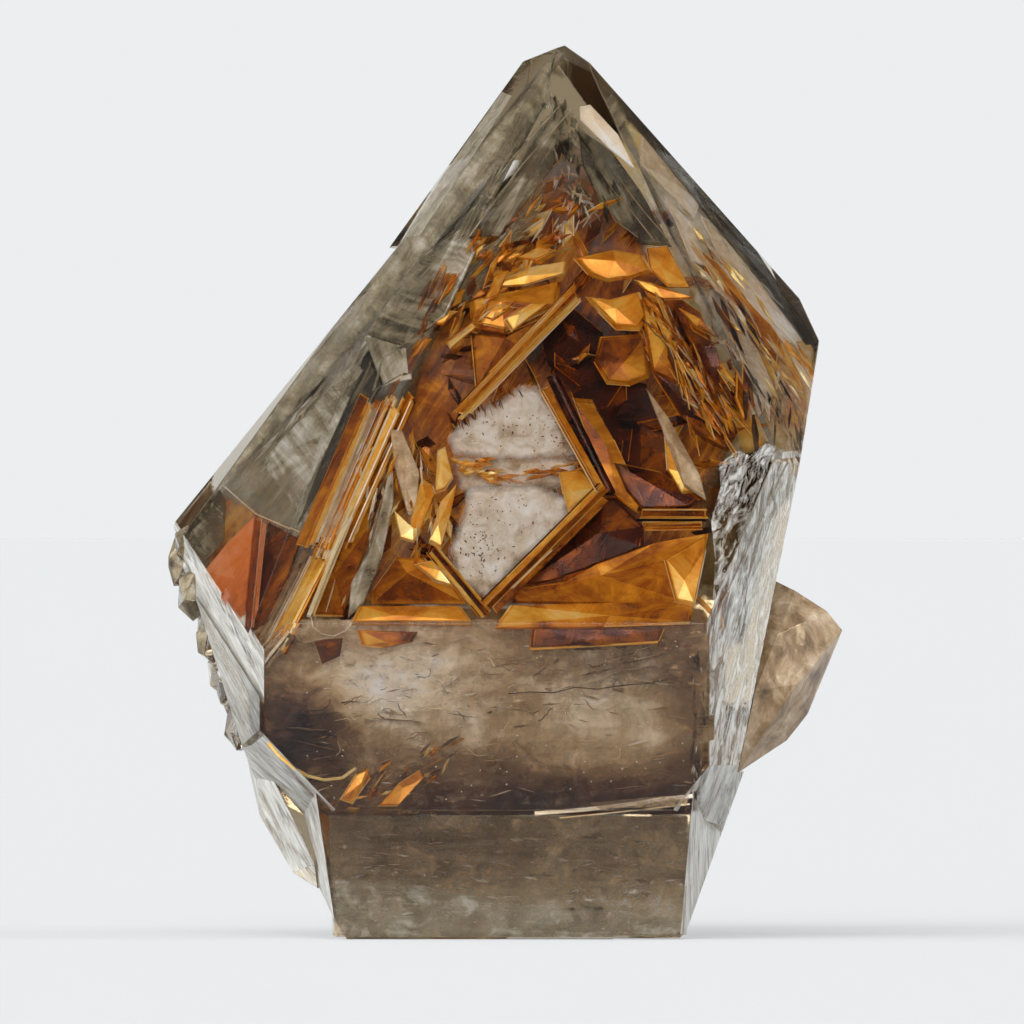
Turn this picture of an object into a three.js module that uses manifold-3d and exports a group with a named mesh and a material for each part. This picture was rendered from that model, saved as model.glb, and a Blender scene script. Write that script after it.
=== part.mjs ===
// Smoky quartz point, one solid. Millimetres, +Z up along the crystal's long axis, front face toward -Y.
import * as THREE from "three";
import { mergeVertices } from "three/addons/utils/BufferGeometryUtils.js";
import { ConvexGeometry } from "three/addons/geometries/ConvexGeometry.js";
import Module from "manifold-3d";

const wasm = await Module();
wasm.setup();

// Angles between the long axis and a face normal, degrees.
const PRISM = 90;
const RHOMB = 51.8;

// Driving sizes. x is to the right, y is depth behind the front prism face, z is height above the base.
const TIP_HEIGHT = 62;
const SHOULDER_Z = 21.9;
const LEDGE_Z = 9.0;
const FRONT_LEFT_X = -16.65;
const FRONT_RIGHT_X = 13.75;
const LEFT_RIDGE_FOOT_X = -14.5;
const RIGHT_RIDGE = [10.85, 22.2, 50.1];
const LEFT_CORNER = [-23.3, 26.1, 28.8];
const BACK_Y = 44;
const BLOCK = 200;

// Normal of a crystal face. Azimuth runs from the front (-Y) toward the right (+X).
function faceNormal(azimuth, polar) {
  const a = THREE.MathUtils.degToRad(azimuth);
  const p = THREE.MathUtils.degToRad(polar);
  return new THREE.Vector3(Math.sin(a) * Math.sin(p), -Math.cos(a) * Math.sin(p), Math.cos(p));
}

function face(azimuth, polar, through) {
  return { normal: faceNormal(azimuth, polar), through: new THREE.Vector3(...through) };
}

// A plane seen edge-on from the front: it keeps the side to the left of the line from start to end (x, z).
function slice(start, end) {
  const along = new THREE.Vector3(end[0] - start[0], 0, end[1] - start[1]).normalize();
  const normal = new THREE.Vector3(along.z, 0, -along.x);
  return { normal, through: new THREE.Vector3(start[0], 0, start[1]) };
}

// A face moved outward (or inward, when negative) along its own normal.
function lifted(plane, distance) {
  return { normal: plane.normal, through: plane.through.clone().addScaledVector(plane.normal, distance) };
}

function toSolid(geometry) {
  const bare = geometry.clone();
  bare.deleteAttribute("normal");
  bare.deleteAttribute("uv");
  const merged = mergeVertices(bare, 1e-5);
  const mesh = new wasm.Mesh({
    numProp: 3,
    vertProperties: new Float32Array(merged.attributes.position.array),
    triVerts: new Uint32Array(merged.index.array),
  });
  return new wasm.Manifold(mesh);
}

function toGeometry(solid) {
  const mesh = solid.getMesh();
  const geometry = new THREE.BufferGeometry();
  geometry.setAttribute("position", new THREE.BufferAttribute(new Float32Array(mesh.vertProperties), 3));
  geometry.setIndex(new THREE.BufferAttribute(new Uint32Array(mesh.triVerts), 1));
  return geometry;
}

// Cuts a solid back to the inside of every plane.
function cleave(solid, planes) {
  let kept = solid;
  for (const plane of planes) {
    const inward = plane.normal.clone().negate();
    kept = kept.trimByPlane(inward.toArray(), inward.dot(plane.through));
  }
  return kept;
}

const rough = toSolid(new THREE.BoxGeometry(BLOCK, BLOCK, BLOCK));

// A broken fragment: the tight hull of its corners.
function fragment(corners) {
  return toSolid(new ConvexGeometry(corners.map((corner) => new THREE.Vector3(...corner))));
}

// Main crystal: upper pyramid, short prism, undercut lower sides.
const FACES = {
  prismFront: face(0, PRISM, [0, 0, 0]),
  pyramidFront: face(0, RHOMB, [0, 0, SHOULDER_Z]),
  pyramidLeft: face(-60, RHOMB, [LEFT_RIDGE_FOOT_X, 0, SHOULDER_Z]),
  pyramidRight: face(60, RHOMB, RIGHT_RIDGE),
  prismLeft: face(-76, PRISM, [FRONT_LEFT_X, 0, 0]),
  prismRight: face(62, PRISM, [FRONT_RIGHT_X, 0, 0]),
  pyramidBackLeft: face(-120, 58.6, [-8.25, 29.25, 47.4]),
  pyramidBackRight: face(120, 53, [14.0, 30.8, 52.2]),
  pyramidBack: face(180, 58, [2, 36.6, 61.4]),
  prismBackLeft: face(-120, PRISM, LEFT_CORNER),
  prismBackRight: face(120, PRISM, [20.5, 31, 30]),
  prismBack: face(180, PRISM, [0, BACK_Y, 0]),
  sideRight: face(91, 102, [22.1, 24, 41.4]),
  cornerRight: face(92, 66, [20.6, 34, 46.2]),
  cornerLeft: face(-92, 68, [-23.1, 26, 29.6]),
  underLeft: face(-91, 109.5, LEFT_CORNER),
  lowerLeft: face(-66, 131, [FRONT_LEFT_X, 0, 14.2]),
  lowerRight: face(62, 126, [FRONT_RIGHT_X, 0, 11.6]),
  lowerBack: face(180, 124, [0, BACK_Y, 16]),
  lowerBackLeft: face(-122, 118, [-20, 26, 18]),
  lowerBackRight: face(122, 116, [19, 30, 18]),
  ledge: face(0, 172, [0, 0, LEDGE_Z]),
};

// The same crystal with one face grown outward, kept only inside the given cuts: a growth step on that face.
function terrace(name, thickness, cuts) {
  const grown = { ...FACES, [name]: lifted(FACES[name], thickness) };
  return cleave(rough, [...Object.values(grown), ...cuts]);
}

let crystal = cleave(rough, Object.values(FACES));

// Root below the ledge, set back a little, standing on the flat break.
const ROOT_FRONT_Y = 0.7;
const ROOT_TOP_Z = 11.5;
const root = cleave(rough, [
  face(0, 100, [0, ROOT_FRONT_Y, LEDGE_Z]),
  face(-78, 100, [-12.9, ROOT_FRONT_Y, LEDGE_Z]),
  face(-93, 120, [-12.9, 4, 3.5]),
  face(78, 97, [12.9, ROOT_FRONT_Y, LEDGE_Z]),
  face(93, 113.5, [14.5, 9, 5.6]),
  face(180, 110, [0, 36, ROOT_TOP_Z]),
  face(-135, 114, [-11, 27.5, ROOT_TOP_Z]),
  face(135, 112, [15, 32, ROOT_TOP_Z]),
  face(0, 0, [0, 0, ROOT_TOP_Z]),
]);
crystal = crystal.add(root);

// Side crystal on the right flank.
const SIDE_CRYSTAL = [
  [18.6, 15.5, 24.9],
  [20.2, 14.2, 24.1],
  [22.4, 14.8, 22.7],
  [23.5, 15.4, 21.35],
  [22.2, 12.8, 19.8],
  [21.8, 13.6, 17.7],
  [21.1, 13.8, 15.6],
  [19.6, 13.2, 13.7],
  [18.2, 11.4, 13.0],
  [16.2, 9.4, 11.5],
  [18.9, 9.6, 21.0],
  [20.3, 9.8, 17.6],
  [17.4, 8.2, 17.2],
  [16.9, 10.4, 21.6],
  [22.6, 20.5, 20.4],
  [20.8, 22.0, 15.0],
  [18.0, 22.5, 24.0],
  [13.0, 13.0, 23.5],
  [12.5, 12.0, 13.0],
  [13.5, 21.0, 18.0],
];
crystal = crystal.add(fragment(SIDE_CRYSTAL));

// Broken wedge at the lower left, behind the front corner.
const LEFT_WEDGE = [
  [-18.0, 12, 12.6],
  [-17.0, 9, 8.4],
  [-14.7, 7, 4.6],
  [-13.0, 5.5, 3.5],
  [-13.2, 4.0, 5.2],
  [-15.2, 5.0, 9.4],
  [-17.2, 6.5, 13.2],
  [-11.0, 14, 15.0],
  [-10.0, 16, 4.0],
  [-15.5, 17, 12.0],
];
crystal = crystal.add(fragment(LEFT_WEDGE));

// Angular crust along the left edge, from the left corner down to the lower wedge.
const CRUST_TOP = new THREE.Vector3(-22.6, 24.6, 27.2);
const CRUST_END = new THREE.Vector3(-18.2, 15.5, 14.0);
const CRUST_LUMPS = 13;
const CRUST_SIZE = 1.4;
for (let i = 0; i < CRUST_LUMPS; i += 1) {
  const grain = new THREE.IcosahedronGeometry(CRUST_SIZE * (0.8 + 0.35 * Math.sin(i * 2.4)), 0);
  grain.scale(0.85, 1.5, 1.2 + 0.3 * Math.cos(i * 1.7));
  grain.rotateX(i * 1.13);
  grain.rotateY(0.35 * Math.sin(i * 3.1));
  const at = CRUST_TOP.clone().lerp(CRUST_END, i / (CRUST_LUMPS - 1));
  grain.translate(at.x + 0.3 * Math.cos(i * 2.9), at.y + 1.4 * Math.sin(i * 1.9), at.z);
  crystal = crystal.add(toSolid(grain));
}

// Growth steps. The left pyramid face carries a raised plate whose lower edge is a long pale ridge.
const STEP = 0.35;
const STEP_LINE = [[-14.3, 30.2], [-9.8, 41.9], [2.5, 60.5]];
const stepCuts = [slice(STEP_LINE[1], STEP_LINE[0]), slice(STEP_LINE[2], STEP_LINE[1])];
crystal = crystal.add(terrace("pyramidLeft", STEP, stepCuts));

// The upper back-left side bulges out above a small shelf on the outline.
const SHELF_Z = 50.3;
const upperBackLeft = face(-120, 65.7, [1.2, 34.7, 61.3]);
const bulge = { ...FACES, pyramidBackLeft: upperBackLeft };
crystal = crystal.add(cleave(rough, [...Object.values(bulge), face(0, 176, [0, 0, SHELF_Z])]));

// Parallel growth steps on the right pyramid face, each one shorter than the one below it.
const RIGHT_STEPS = 4;
const RIGHT_STEP = 0.14;
for (let i = 1; i <= RIGHT_STEPS; i += 1) {
  const shift = i * 1.15;
  const low = [21.5 - shift * 1.6, 38.2];
  const high = [6.4 - shift * 0.35, 59.2];
  crystal = crystal.add(terrace("pyramidRight", i * RIGHT_STEP, [slice(low, high)]));
}

// Long steps on the two bright side faces.
const LEFT_STEPS = [
  { lift: 0.16, start: [-22.6, 22.0], end: [-17.2, 15.2] },
  { lift: 0.3, start: [-22.9, 25.6], end: [-17.0, 16.9] },
];
for (const { lift, start, end } of LEFT_STEPS) {
  crystal = crystal.add(terrace("prismLeft", lift, [slice(end, start)]));
}
const RIGHT_SIDE_STEPS = [
  { lift: 0.18, start: [19.6, 36.0], end: [14.2, 24.0] },
  { lift: 0.34, start: [20.6, 35.0], end: [15.4, 24.0] },
];
for (const { lift, start, end } of RIGHT_SIDE_STEPS) {
  crystal = crystal.add(terrace("prismRight", lift, [slice(start, end)]));
}

// Chips: the blunt summit, the kite-shaped nick on the left ridge, the pitted left corner.
const SUMMIT = [
  face(-100, 18, [1.6, 34, TIP_HEIGHT - 0.5]),
  face(12, 40, [4.6, 29.2, TIP_HEIGHT - 2.2]),
];
crystal = cleave(crystal, SUMMIT);

// A chip on the ridge between two faces: length along the ridge, depth below it, rolled about the ridge and
// turned about the outward line.
function chip(first, second, at, length, depth, roll, turn) {
  const ridge = FACES[first].normal.clone().cross(FACES[second].normal).normalize();
  const out = FACES[first].normal.clone().add(FACES[second].normal).normalize();
  const across = out.clone().cross(ridge);
  const chisel = new THREE.BoxGeometry(length * 2, length, length);
  chisel.rotateY(THREE.MathUtils.degToRad(turn));
  chisel.translate(0, length / 2 - depth, 0);
  chisel.rotateZ(THREE.MathUtils.degToRad(roll));
  chisel.applyMatrix4(new THREE.Matrix4().makeBasis(across, out, ridge));
  chisel.translate(...at);
  crystal = crystal.subtract(toSolid(chisel));
}
chip("pyramidFront", "pyramidLeft", [-6.5, 14.6, 40.9], 3.6, 0.6, 20, 12);
chip("pyramidFront", "pyramidLeft", [-1.2, 23.0, 51.2], 1.3, 0.14, 0, -10);
chip("pyramidFront", "pyramidRight", [14.6, 14.7, 40.6], 1.8, 0.2, 0, 14);
chip("pyramidLeft", "prismLeft", [-19.6, 11.6, 23.6], 1.6, 0.16, 0, 8);
chip("prismFront", "prismRight", [13.75, 0, 14.6], 1.7, 0.15, 0, 6);

// Flat break the crystal rests on, a little higher at its front right corner.
const REST_RIGHT_X = 7.5;
const REST_RISE = 0.35;
crystal = cleave(crystal, [face(0, 180, [0, 0, 0])]);
const hollow = new THREE.BoxGeometry(BLOCK, 9, REST_RISE * 2);
hollow.translate(REST_RIGHT_X + BLOCK / 2, 3, 0);
crystal = crystal.subtract(toSolid(hollow));

const geometry = toGeometry(crystal);
geometry.computeBoundingBox();
const { min, max } = geometry.boundingBox;
geometry.translate(-(min.x + max.x) / 2, -(min.y + max.y) / 2, -min.z);

const quartz = new THREE.Mesh(
  geometry,
  new THREE.MeshStandardMaterial({ color: 0xb9a58c, roughness: 0.08, metalness: 0 }),
);
quartz.name = "crystal";

const part = new THREE.Group();
part.name = "quartz_crystal";
part.add(quartz);

export default part;
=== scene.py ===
import math
import random

import bmesh
import bpy
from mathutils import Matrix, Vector, noise


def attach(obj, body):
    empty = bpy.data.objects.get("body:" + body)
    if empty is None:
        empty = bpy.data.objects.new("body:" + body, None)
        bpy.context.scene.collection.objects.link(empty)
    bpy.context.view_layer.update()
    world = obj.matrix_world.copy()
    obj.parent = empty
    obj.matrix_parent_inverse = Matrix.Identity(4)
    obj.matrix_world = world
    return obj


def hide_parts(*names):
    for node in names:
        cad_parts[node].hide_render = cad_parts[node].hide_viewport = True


# Looks of a smoky quartz point: the clear crystal, the films and veils inside it, the studio and the camera.
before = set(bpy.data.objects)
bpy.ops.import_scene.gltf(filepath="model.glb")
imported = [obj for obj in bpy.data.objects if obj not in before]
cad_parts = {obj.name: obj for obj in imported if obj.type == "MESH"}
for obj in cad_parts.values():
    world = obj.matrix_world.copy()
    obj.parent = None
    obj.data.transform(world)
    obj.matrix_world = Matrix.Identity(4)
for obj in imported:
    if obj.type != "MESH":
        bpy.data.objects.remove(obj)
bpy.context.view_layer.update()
random.seed(7)

MM = 0.001
IOR = 1.544

# Camera: a photo pixel is 0.07 mm wide on the plane through the crystal's middle.
PIXEL = 0.07
IMAGE = 1024
MIDDLE = IMAGE / 2
CAMERA_DISTANCE = 2000.0
CAMERA_X = 0.53
CAMERA_Z = 29.61
CAMERA_POINT = Vector((CAMERA_X, -CAMERA_DISTANCE, CAMERA_Z))


# Faces of the crystal, read from the CAD node.
def normal_of(azimuth, polar):
    """Direction from its angle about Z from the front and its angle from the top, in degrees."""
    a, p = math.radians(azimuth), math.radians(polar)
    return Vector((math.sin(a) * math.sin(p), -math.cos(a) * math.sin(p), math.cos(p)))


cad_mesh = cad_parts["crystal"].data
cad_mesh.calc_loop_triangles()
TRIANGLES = [
    (t.area, t.normal.copy(), [cad_mesh.vertices[i].co / MM for i in t.vertices])
    for t in cad_mesh.loop_triangles
]


# How far a facet may lean from a face's direction, in degrees, and the step between flats, in mm.
FACE_SPREAD = 0.6
FLAT_STEP = 0.08


def face_plane(azimuth, polar):
    """(normal, offset in mm) of the largest flat with that normal."""
    n = normal_of(azimuth, polar)
    bins = {}
    for area, normal, corners in TRIANGLES:
        if normal.dot(n) > math.cos(math.radians(FACE_SPREAD)):
            reach = n.dot(sum(corners, Vector()) / 3)
            key = round(reach / FLAT_STEP)
            total, weight = bins.get(key, (0.0, 0.0))
            bins[key] = (total + area * reach, weight + area)
    total, weight = max(bins.values(), key=lambda b: b[1])
    return n, total / weight


# Directions of the faces: angle about Z from the front and angle from the top, in degrees.
FRONT_FACE = (0, 90)
PYRAMID_FACE = (0, 51.8)
LEFT_PYRAMID = (-60, 51.8)
RIGHT_PYRAMID = (60, 51.8)
RIGHT_SIDE = (62, 90)
LEFT_SIDE = (-76, 90)
ROOT_FACE = (0, 100)
RIGHT_ROOT = (91, 102)
LEFT_ROOT = (-91, 109.5)
BACK_FACES = [(-120, 58.6), (-120, 65.7), (120, 53), (180, 58), (-120, 90), (120, 90), (180, 90)]
FACE = {
    "front": face_plane(*FRONT_FACE),
    "pyramid": face_plane(*PYRAMID_FACE),
    "left": face_plane(*LEFT_PYRAMID),
    "right": face_plane(*RIGHT_PYRAMID),
    "side_left": face_plane(*LEFT_SIDE),
    "root": face_plane(*ROOT_FACE),
}
WALLS = [
    face_plane(*direction)
    for direction in (
        FRONT_FACE, PYRAMID_FACE, LEFT_PYRAMID, RIGHT_PYRAMID, RIGHT_SIDE, LEFT_SIDE, *BACK_FACES,
        RIGHT_ROOT, LEFT_ROOT,
    )
]
BASE = (Vector((0, 0, -1)), 0.0)
WALLS.append(BASE)
# How far films stay under the outer faces, in mm, and how often a point is moved back.
WALL_GAP = 0.12
WALL_PASSES = 3


def refract(d, n):
    """Direction of a ray d after it enters the crystal through a face with outward normal n."""
    c = -d.dot(n)
    k = 1 - (1 - c * c) / IOR**2
    return (d / IOR + n * (c / IOR - math.sqrt(k))).normalized()


def inside(px, py, face, depth):
    """Point in mm that is seen at a photo pixel through a face, on the plane depth under that face."""
    n, offset = FACE[face]
    target = Vector((CAMERA_X + (px - MIDDLE) * PIXEL, 0, CAMERA_Z - (py - MIDDLE) * PIXEL))
    d = (target - CAMERA_POINT).normalized()
    hit = CAMERA_POINT + d * ((offset - n.dot(CAMERA_POINT)) / n.dot(d))
    r = refract(d, n)
    return hit + r * (-depth / n.dot(r))


def keep_in(p, gap=WALL_GAP):
    """Moves a point in mm back under the crystal's outer faces."""
    for _ in range(WALL_PASSES):
        for n, offset in WALLS:
            over = n.dot(p) - (offset - gap)
            if over > 0:
                p = p - n * over
    return p


# Materials.
def rgb(r, g, b):
    """Linear colour of an sRGB value from 0 to 255."""
    out = []
    for c in (r, g, b):
        c /= 255
        out.append(c / 12.92 if c <= 0.04045 else ((c + 0.055) / 1.055) ** 2.4)
    return (*out, 1)


class Nodes:
    """Short names for building a node tree."""

    def __init__(self, name):
        self.material = bpy.data.materials.new(name)
        self.material.use_nodes = True
        self.tree = self.material.node_tree
        self.tree.nodes.clear()
        self.out = self.tree.nodes.new("ShaderNodeOutputMaterial")

    def put(self, value, socket):
        if isinstance(value, bpy.types.NodeSocket):
            self.tree.links.new(value, socket)
        else:
            socket.default_value = value

    def add(self, kind, **inputs):
        node = self.tree.nodes.new("ShaderNode" + kind)
        for key, value in inputs.items():
            self.put(value, node.inputs[key.replace("_", " ")])
        return node

    def noise(self, vector, scale, detail=4.0, rough=0.6, distort=0.0):
        node = self.add("TexNoise", Vector=vector, Scale=scale, Detail=detail, Roughness=rough)
        node.inputs["Distortion"].default_value = distort
        return node.outputs["Fac"]

    def ramp(self, value, stops):
        node = self.add("ValToRGB", Fac=value)
        ramp = node.color_ramp
        while len(ramp.elements) < len(stops):
            ramp.elements.new(0.5)
        for element, (at, colour) in zip(ramp.elements, stops):
            element.position = at
            element.color = colour if isinstance(colour, tuple) else (colour, colour, colour, 1)
        return node.outputs["Color"]

    def stretch(self, vector, scale, turn=0.0):
        """Turns a place by an angle in degrees about Z, then scales it."""
        node = self.add("Mapping", Vector=vector)
        node.vector_type = "TEXTURE"
        node.inputs["Scale"].default_value = [1 / s for s in scale]
        node.inputs["Rotation"].default_value = (0, 0, math.radians(turn))
        return node.outputs["Vector"]

    def math(self, operation, a, b=0.0, c=0.0):
        node = self.tree.nodes.new("ShaderNodeMath")
        node.operation = operation
        for socket, value in zip(node.inputs, (a, b, c)):
            self.put(value, socket)
        return node.outputs[0]

    def swing(self, value, amount):
        """amount times how far a 0 to 1 value is from its middle."""
        return self.math("MULTIPLY", self.math("SUBTRACT", value, 0.5), amount)

    def uv(self, layer):
        node = self.tree.nodes.new("ShaderNodeUVMap")
        node.uv_map = layer
        return node.outputs["UV"]

    def mix(self, share, first, second):
        """A blend of two shaders with a share of the second one."""
        node = self.add("MixShader", Fac=share)
        self.tree.links.new(first.outputs[0], node.inputs[1])
        self.tree.links.new(second.outputs[0], node.inputs[2])
        return node

    def surface(self, shader):
        self.tree.links.new(shader.outputs[0], self.out.inputs["Surface"])


# Depth of the fine relief on films and faces, in metres.
BUMP_DEPTH = 0.0002


def film(name, stops, streaks, blotch, loose, rough, through, metal=0.0):
    """A film or veil inside the crystal. Each corner of its mesh carries a tone and a cover.

    streaks is (scale along, scale across, strength), blotch is (scale, strength), and loose says how far
    noise opens the cover. through is the share of light that comes through from behind.
    """
    m = Nodes(name)
    where = m.uv("UVMap")
    own = m.add("SeparateXYZ", Vector=m.uv("Tone"))
    lines = m.noise(m.stretch(where, (streaks[0], streaks[1], 1)), 1.0, 3, 0.6, 0.5)
    cloud = m.noise(where, blotch[0], 5, 0.72, 0.6)
    tone = m.math("ADD", own.outputs["X"], m.swing(lines, streaks[2]))
    colour = m.ramp(m.math("ADD", tone, m.swing(cloud, blotch[1])), stops)
    gaps = m.math("ADD", m.swing(cloud, loose), m.swing(lines, loose * 0.6))
    cover = m.math("MINIMUM", m.math("MAXIMUM", m.math("ADD", own.outputs["Y"], gaps), 0.0), 1.0)
    relief = m.math("ADD", lines, cloud)
    bump = m.add("Bump", Strength=0.15, Distance=BUMP_DEPTH, Height=relief).outputs["Normal"]
    front = m.add("BsdfPrincipled", Base_Color=colour, Roughness=rough, Metallic=metal, Normal=bump)
    front.inputs["Specular IOR Level"].default_value = 0.4
    back = m.add("BsdfTranslucent", Color=colour, Normal=bump)
    body = m.mix(through, front, back)
    m.surface(m.mix(cover, m.add("BsdfTransparent"), body))
    return m.material


AMBER_TONES = [
    (0.0, rgb(16, 5, 2)), (0.16, rgb(92, 32, 5)), (0.32, rgb(176, 90, 12)), (0.46, rgb(238, 152, 26)),
    (0.6, rgb(254, 198, 76)), (0.78, rgb(255, 230, 156)), (1.0, rgb(255, 250, 236)),
]
SMOKE_TONES = [
    (0.0, rgb(18, 14, 9)), (0.25, rgb(74, 62, 42)), (0.45, rgb(132, 117, 86)), (0.62, rgb(178, 163, 133)),
    (0.8, rgb(224, 215, 196)), (1.0, rgb(252, 250, 247)),
]
CLOUD_TONES = [
    (0.0, rgb(22, 8, 4)), (0.22, rgb(84, 46, 22)), (0.42, rgb(152, 114, 74)), (0.6, rgb(204, 172, 128)),
    (0.8, rgb(240, 220, 188)), (1.0, rgb(255, 250, 244)),
]
WINDOW_TONES = [
    (0.0, rgb(40, 18, 8)), (0.25, rgb(112, 80, 44)), (0.45, rgb(176, 150, 116)), (0.65, rgb(220, 204, 180)),
    (0.85, rgb(243, 236, 224)), (1.0, rgb(255, 253, 248)),
]
GRIT_TONES = [
    (0.0, rgb(20, 12, 7)), (0.25, rgb(80, 58, 36)), (0.45, rgb(140, 115, 84)), (0.62, rgb(188, 166, 134)),
    (0.8, rgb(230, 215, 192)), (1.0, rgb(253, 249, 244)),
]
SALMON_TONES = [
    (0.0, rgb(70, 20, 6)), (0.3, rgb(160, 70, 18)), (0.55, rgb(232, 128, 52)), (1.0, rgb(255, 214, 166)),
]
AMBER = film("amber_film", AMBER_TONES, (0.1, 0.6, 0.1), (0.32, 0.62), 0.5, 0.14, 0.4, 0.3)
SALMON = film("salmon_film", SALMON_TONES, (0.1, 0.6, 0.1), (0.3, 0.5), 0.4, 0.2, 0.4)
GROUND = film("amber_ground", AMBER_TONES, (0.2, 1.4, 0.5), (0.35, 0.7), 0.5, 0.4, 0.35)
SMOKE = film("smoke_veil", SMOKE_TONES, (0.12, 1.3, 0.8), (0.25, 0.8), 1.3, 0.45, 0.4)
CLOUD = film("cloud_veil", CLOUD_TONES, (0.22, 0.7, 0.3), (0.35, 0.9), 1.0, 0.55, 0.4)
MOTTLE = film("mottled_veil", SMOKE_TONES, (0.22, 1.2, 0.6), (0.7, 0.9), 0.9, 0.5, 0.3)
WINDOW = film("window_veil", WINDOW_TONES, (0.7, 1.2, 0.3), (0.8, 1.1), 0.6, 0.35, 0.4)
FLECK = film("flecked_veil", CLOUD_TONES, (0.4, 2.4, 1.1), (1.2, 1.2), 2.2, 0.5, 0.4)
GRIT = film("gritty_veil", GRIT_TONES, (0.7, 2.6, 1.1), (1.5, 1.4), 2.4, 0.45, 0.3)
PALE = film("pale_film", CLOUD_TONES, (0.8, 1.6, 0.1), (0.8, 0.5), 0.5, 0.4, 0.35)


EDGE_RADIUS = 0.00016
ETCH_SCALE = (500, 500, 2600)
MIRROR_TINT = (0.45, 0.45, 0.45, 1)
SMOKE_COLOUR = (0.64, 0.47, 0.15, 1)
SMOKE_DENSITY = 22.0


def quartz():
    """The clear crystal: plain transmission, quartz's index, smoky absorption."""
    m = Nodes("quartz")
    where = m.add("TexCoord").outputs["Object"]
    etch = m.noise(m.stretch(where, ETCH_SCALE), 1.0, 3, 0.6)
    edge = m.add("Bevel", Radius=EDGE_RADIUS)
    bump = m.add("Bump", Strength=0.05, Distance=BUMP_DEPTH, Height=etch, Normal=edge.outputs["Normal"])
    shader = m.add("BsdfPrincipled", Roughness=0.02, IOR=IOR, Normal=bump.outputs["Normal"])
    shader.inputs["Base Color"].default_value = (1, 1, 1, 1)
    shader.inputs["Transmission Weight"].default_value = 1.0
    shader.inputs["Specular Tint"].default_value = MIRROR_TINT
    smoke = m.add("VolumeAbsorption")
    smoke.inputs["Color"].default_value = SMOKE_COLOUR
    smoke.inputs["Density"].default_value = SMOKE_DENSITY
    m.surface(shader)
    m.tree.links.new(smoke.outputs[0], m.out.inputs["Volume"])
    return m.material


# Colours of the painted sheens: reflection painted on the outer faces, with darker streaks.
SHEEN_TONES = [
    (0.3, rgb(84, 80, 70)), (0.42, rgb(144, 141, 132)), (0.56, rgb(184, 184, 179)),
    (0.75, rgb(214, 215, 213)),
]
TIP_TONES = [(0.3, rgb(58, 52, 42)), (0.5, rgb(112, 104, 88)), (0.7, rgb(150, 144, 128))]


def painted_sheen(name, scale, turn, cover, tones=SHEEN_TONES, bumpy=0.2):
    """A painted sheen: the bright reflection on a striated side face, painted as a pale coat and broken by
    dark streaks.
    """
    m = Nodes(name)
    where = m.stretch(m.uv("UVMap"), scale, turn)
    lines = m.noise(where, 1.0, 6, 0.66, 1.2)
    wisps = m.noise(where, 3.1, 5, 0.7, 1.2)
    amount = m.math("ADD", m.math("MULTIPLY", lines, 0.6), m.math("MULTIPLY", wisps, 0.4))
    alpha = m.ramp(amount, cover)
    colour = m.ramp(wisps, tones)
    bump = m.add("Bump", Strength=bumpy, Distance=BUMP_DEPTH, Height=amount)
    shader = m.add("BsdfPrincipled", Base_Color=colour, Roughness=0.35, Alpha=alpha)
    m.tree.links.new(bump.outputs["Normal"], shader.inputs["Normal"])
    m.surface(shader)
    return m.material


def coat(name, stops, scale, cover, rough, bumpy):
    """A mottled coat on broken or crusted facets, by noise in the crystal's own millimetres."""
    m = Nodes(name)
    where = m.stretch(m.add("TexCoord").outputs["Object"], (1 / MM, 1 / MM, 1 / MM))
    mottle = m.noise(where, scale, 5, 0.68, 0.6)
    alpha = m.ramp(m.noise(where, scale * 0.6, 5, 0.65, 0.5), cover)
    bump = m.add("Bump", Strength=bumpy, Distance=2 * BUMP_DEPTH, Height=mottle)
    shader = m.add("BsdfPrincipled", Base_Color=m.ramp(mottle, stops), Roughness=rough, Alpha=alpha)
    m.tree.links.new(bump.outputs["Normal"], shader.inputs["Normal"])
    m.surface(shader)
    return m.material


# Pieces.
def piece(name, bm, material, smooth=False):
    """A mesh in mm becomes a piece of the object that rides on the one CAD body."""
    bmesh.ops.scale(bm, vec=(MM, MM, MM), verts=bm.verts)
    mesh = bpy.data.meshes.new(name)
    bm.to_mesh(mesh)
    bm.free()
    for polygon in mesh.polygons:
        polygon.use_smooth = smooth
    obj = bpy.data.objects.new(name, mesh)
    bpy.context.collection.objects.link(obj)
    mesh.materials.append(material)
    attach(obj, "root")
    return obj


# Cross-section of a bar: each corner's place across, its height and how much brighter it is.
BAR_PROFILE = [
    (-1.0, 0.0, 0.28), (-0.72, 0.7, 0.1), (-0.4, 1.0, -0.14), (-0.1, 0.6, 0.2), (0.3, 0.9, -0.06),
    (0.65, 0.5, 0.14), (1.0, 0.0, -0.2), (0.6, -0.35, -0.2), (-0.6, -0.35, -0.1),
]
# Plates that reach farther than this from their middle, in mm, get bright hairlines that are painted glints.
LARGE = 1.4
# Half the thickness of a plate, in mm.
PLATE_HALF = 0.07
# Rings of a plate from its middle to its edge: share of the rim, of its brighter edge, which is a painted
# highlight, and of its dome.
PLATE_RINGS = [(1.0, 0.0, 1.0), (0.6, -0.25, 1.0), (0.4, 1.0, 0.6), (0.0, 0.5, 0.0)]
# How widely the films are scattered over the noise that colours them, in mm.
SEAT_RANGE = 40


def seat():
    """A random place in the noise, so that no two films have the same pattern."""
    return Vector((random.random() * SEAT_RANGE, random.random() * SEAT_RANGE))


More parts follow.
